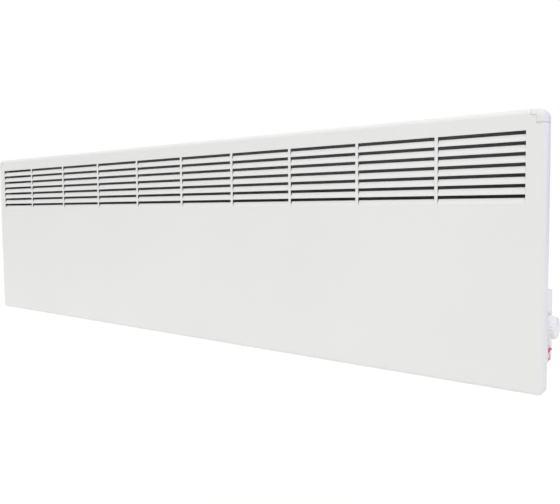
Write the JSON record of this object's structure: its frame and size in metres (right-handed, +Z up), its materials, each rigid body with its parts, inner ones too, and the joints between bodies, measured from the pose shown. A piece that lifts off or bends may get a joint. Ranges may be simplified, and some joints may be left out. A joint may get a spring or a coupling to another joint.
{
  "type": "panel heater",
  "caption": "Wall-mounted electric panel heater: louvred steel front, finned element inside, side thermostat knob and rocker switch, and a hook-on wall bracket.",
  "frame": {"origin": "centre of the wall bracket's four screw holes, on the wall's surface", "axes": "+X along the heater towards its control end, +Y into the wall, +Z up"},
  "size_m": [1.3872, 0.085, 0.389],
  "materials": {
    "white_paint": "satin powder coat",
    "cap_plastic": "satin moulded",
    "housing_plastic": "fine moulded texture",
    "knob_plastic": "satin moulded",
    "switch_red": "glossy translucent",
    "black_plastic": "moulded",
    "block_plastic": "natural nylon",
    "zinc_steel": "zinc plated",
    "galvanised": "galvanised sheet",
    "element_steel": "heat-dulled",
    "element_aluminium": "mill finish",
    "white_ceramic": "unglazed",
    "brass_contact": "bright",
    "spacer_rubber": "matt",
    "wire_brown": "insulation",
    "wire_blue": "insulation",
    "wire_green": "insulation"
  },
  "bodies": {
    "heater": {"bracket_arm_left": "galvanised", "bracket_arm_right": "galvanised", "bracket_rivets": "zinc_steel", "cable_gland": "black_plastic", "casing_screws": "zinc_steel", "control_housing": "housing_plastic", "corner_cap_left": "cap_plastic", "corner_cap_right": "cap_plastic", "cutout_clip": "galvanised", "cutout_screw": "zinc_steel", "earth_screw": "zinc_steel", "earth_tag": "brass_contact", "element_bracket_left": "galvanised", "element_bracket_right": "galvanised", "element_fins": "element_aluminium", "element_insulator_left": "white_ceramic", "element_insulator_right": "white_ceramic", "element_screws": "zinc_steel", "element_sheath": "element_steel", "element_terminal_left": "brass_contact", "element_terminal_right": "brass_contact", "end_plate_screws": "zinc_steel", "front_panel": "white_paint", "gland_nut": "black_plastic", "grommet": "spacer_rubber", "heat_reflector": "element_aluminium", "housing_cover": "housing_plastic", "left_end_plate": "white_paint", "overheat_cutout": "black_plastic", "rear_casing": "white_paint", "rear_spacer_left": "spacer_rubber", "rear_spacer_right": "spacer_rubber", "reflector_rivets": "zinc_steel", "right_end_plate": "white_paint", "switch_body": "black_plastic", "switch_frame": "housing_plastic", "switch_terminals": "brass_contact", "terminal_block": "block_plastic", "terminal_screws": "zinc_steel", "thermostat_body": "black_plastic", "thermostat_bush": "brass_contact", "thermostat_nut": "zinc_steel", "wall_rail": "galvanised", "wire_clips": "block_plastic", "wire_earth": "wire_green", "wire_element": "wire_brown", "wire_live": "wire_brown", "wire_neutral": "wire_blue"},
    "knob": {"thermostat_knob": "knob_plastic", "thermostat_shaft": "zinc_steel"},
    "rocker": {"rocker": "switch_red"},
    "latch_left": {"latch_left": "zinc_steel"},
    "latch_right": {"latch_right": "zinc_steel"}
  },
  "joints": [
    {"name": "knob_turn", "type": "hinge", "parent": "heater", "child": "knob", "pos_m": [0.685, -0.041, -0.1058], "axis": [1, 0, 0], "range_deg": [-135, 135]},
    {"name": "rocker_tilt", "type": "hinge", "parent": "heater", "child": "rocker", "pos_m": [0.683, -0.041, -0.1429], "axis": [0, -1, 0], "range_deg": [0, 18]},
    {"name": "latch_left_turn", "type": "hinge", "parent": "heater", "child": "latch_left", "pos_m": [-0.28, -0.01, 0.177], "axis": [0, 0, -1], "range_deg": [0, 90]},
    {"name": "latch_right_turn", "type": "hinge", "parent": "heater", "child": "latch_right", "pos_m": [0.28, -0.01, 0.177], "axis": [0, 0, 1], "range_deg": [0, 90]}
  ]
}
